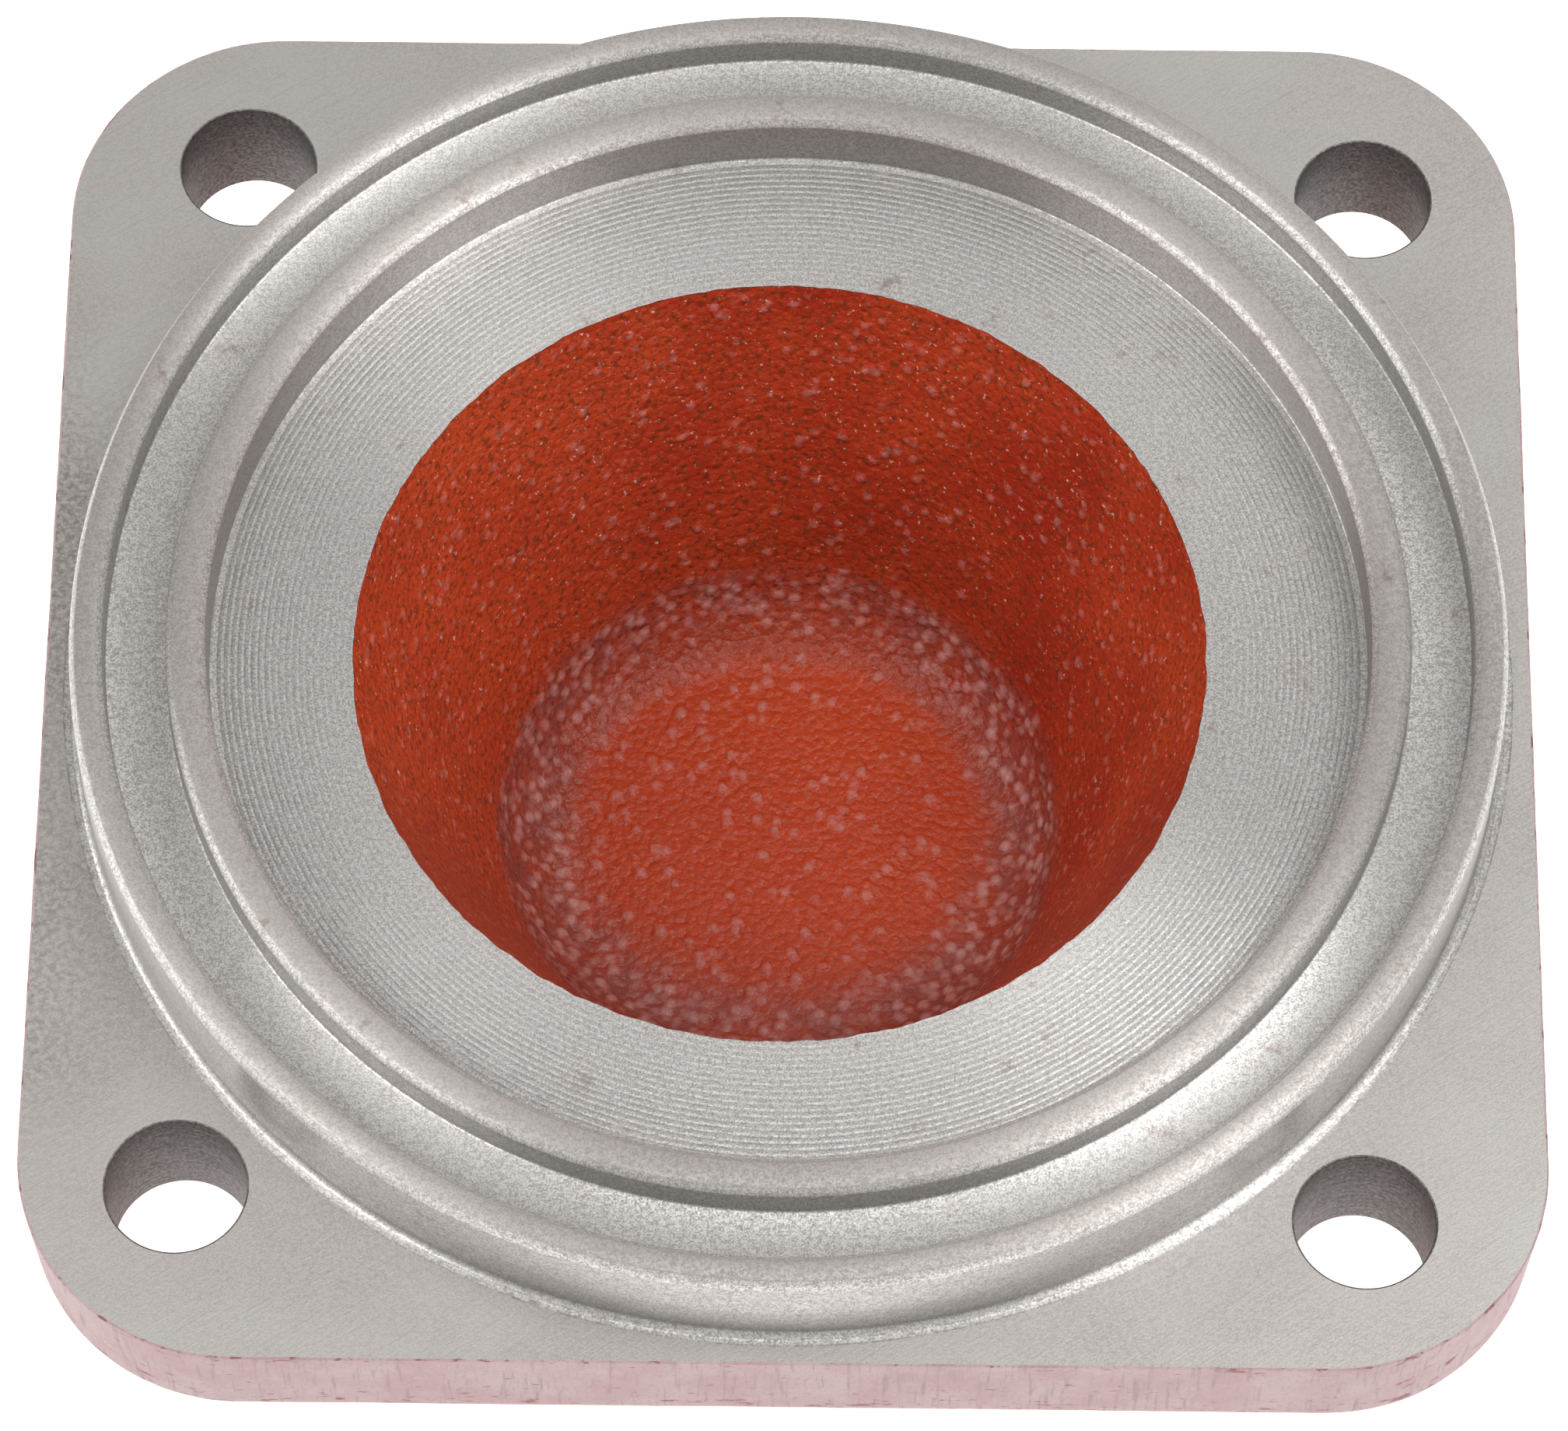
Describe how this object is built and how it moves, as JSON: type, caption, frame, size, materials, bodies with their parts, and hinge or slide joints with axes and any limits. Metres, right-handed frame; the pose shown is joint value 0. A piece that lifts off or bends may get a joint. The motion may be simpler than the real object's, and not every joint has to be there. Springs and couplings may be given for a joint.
{
  "type": "blind flange",
  "caption": "Square cast-iron blind flange with a turned spigot, a seal groove between two raised lands, a primed dished hollow and corner bolt holes.",
  "frame": {"origin": "centre of the flat pad under the dished back, the lowest face", "axes": "+Z from the back to the sealing face; +X and +Y along the rows of bolt holes"},
  "size_m": [0.1534, 0.1534, 0.0597],
  "materials": {
    "machined_iron": "turned and ground grey iron with fine speckle; worn pink primer on the cast edges and red primer on the back",
    "red_primer": "glossy red-oxide primer over rough cast iron"
  },
  "bodies": {
    "root": {"flange_casting": "machined_iron", "cavity_primer_coat": "red_primer"}
  },
  "joints": []
}
